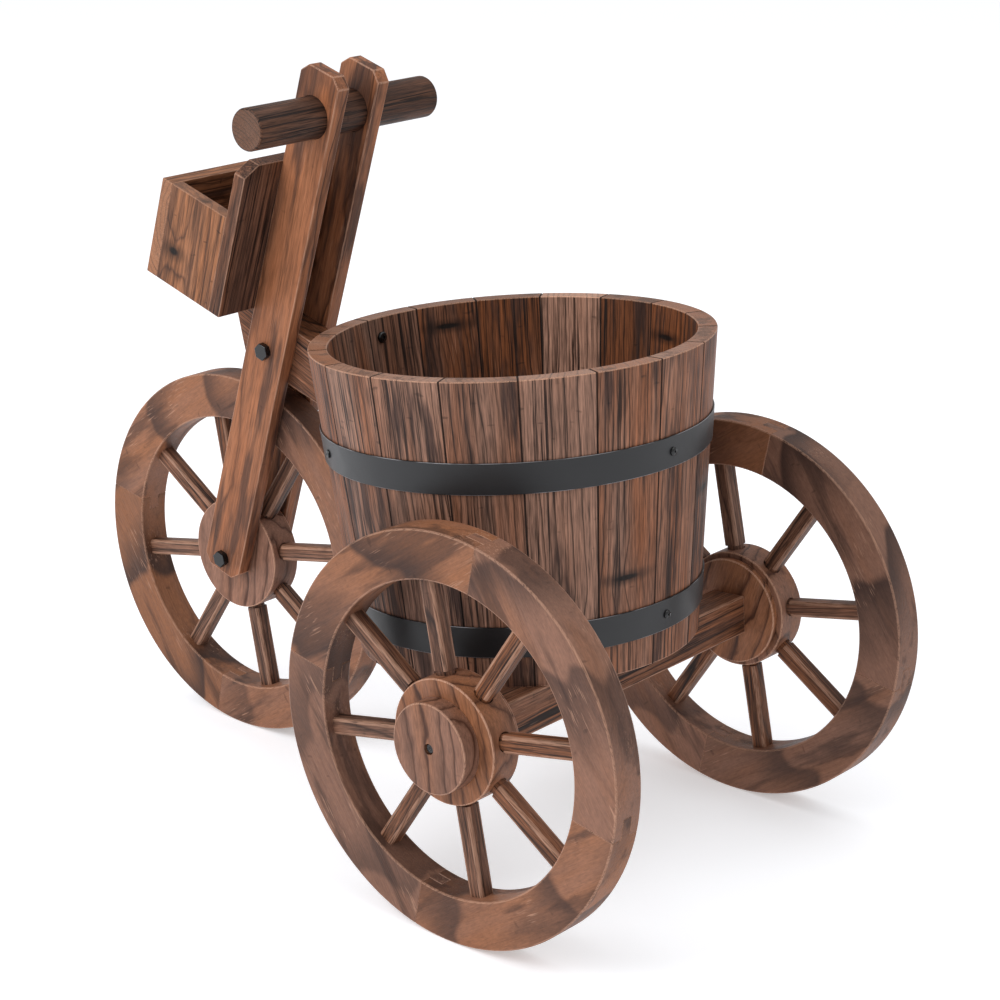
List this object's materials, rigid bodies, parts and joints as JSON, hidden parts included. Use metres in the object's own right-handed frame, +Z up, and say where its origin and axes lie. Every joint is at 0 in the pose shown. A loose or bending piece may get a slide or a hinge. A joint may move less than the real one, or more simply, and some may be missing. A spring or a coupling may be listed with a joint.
{
  "type": "wooden tricycle planter",
  "caption": "Decorative wooden tricycle: a hooped stave barrel for plants between two spoked rear wheels, with a raked fork, spoked front wheel, handlebar and small open box.",
  "frame": {"origin": "on the ground, on the middle plane, halfway between the front axle and the rear axle", "axes": "+X to the right, +Y forward towards the front wheel, +Z up"},
  "size_m": [0.415, 0.726, 0.601],
  "materials": {
    "rim_wood": "satin stained fir, sanded faces",
    "stave_wood": "scorched and stained fir, matt",
    "fork_wood": "satin stained fir",
    "box_wood": "stained knotty fir",
    "dark_fir": "scorched and brushed fir",
    "black_steel": "satin black enamel",
    "bolt_steel": "black zinc"
  },
  "bodies": {
    "frame": {"axle_beam": "dark_fir", "axle_screws": "bolt_steel", "barrel_bottom": "dark_fir", "box_back": "dark_fir", "box_floor": "box_wood", "box_front": "box_wood", "box_left": "box_wood", "box_right": "box_wood", "front_axle_bolt": "bolt_steel", "handlebar": "dark_fir", "hoop_screws": "bolt_steel", "hub_washers": "bolt_steel", "left_fork_blade": "fork_wood", "lock_nuts": "bolt_steel", "lower_hoop": "black_steel", "neck_block": "dark_fir", "neck_bolt": "bolt_steel", "right_fork_blade": "fork_wood", "stave_01": "stave_wood", "stave_02": "stave_wood", "stave_03": "stave_wood", "stave_04": "stave_wood", "stave_05": "stave_wood", "stave_06": "stave_wood", "stave_07": "stave_wood", "stave_08": "stave_wood", "stave_09": "stave_wood", "stave_10": "stave_wood", "stave_11": "stave_wood", "stave_12": "stave_wood", "stave_13": "stave_wood", "stave_14": "stave_wood", "stave_15": "stave_wood", "stave_16": "stave_wood", "stave_17": "stave_wood", "upper_hoop": "black_steel", "wood_screws": "bolt_steel"},
    "front_wheel": {"front_wheel_felloe_1": "rim_wood", "front_wheel_felloe_2": "rim_wood", "front_wheel_felloe_3": "rim_wood", "front_wheel_felloe_4": "rim_wood", "front_wheel_hub": "rim_wood", "front_wheel_spokes": "dark_fir"},
    "left_wheel": {"left_wheel_felloe_1": "rim_wood", "left_wheel_felloe_2": "rim_wood", "left_wheel_felloe_3": "rim_wood", "left_wheel_felloe_4": "rim_wood", "left_wheel_hub": "rim_wood", "left_wheel_hub_cap": "rim_wood", "left_wheel_hub_collar": "rim_wood", "left_wheel_spokes": "dark_fir"},
    "right_wheel": {"right_wheel_felloe_1": "rim_wood", "right_wheel_felloe_2": "rim_wood", "right_wheel_felloe_3": "rim_wood", "right_wheel_felloe_4": "rim_wood", "right_wheel_hub": "rim_wood", "right_wheel_hub_cap": "rim_wood", "right_wheel_hub_collar": "rim_wood", "right_wheel_spokes": "dark_fir"}
  },
  "joints": [
    {"name": "front_wheel_spin", "type": "hinge", "parent": "frame", "child": "front_wheel", "pos_m": [0, 0.203, 0.16], "axis": [1, 0, 0], "continuous": true},
    {"name": "left_wheel_spin", "type": "hinge", "parent": "frame", "child": "left_wheel", "pos_m": [-0.1775, -0.203, 0.16], "axis": [1, 0, 0], "continuous": true},
    {"name": "right_wheel_spin", "type": "hinge", "parent": "frame", "child": "right_wheel", "pos_m": [0.1775, -0.203, 0.16], "axis": [1, 0, 0], "continuous": true}
  ]
}
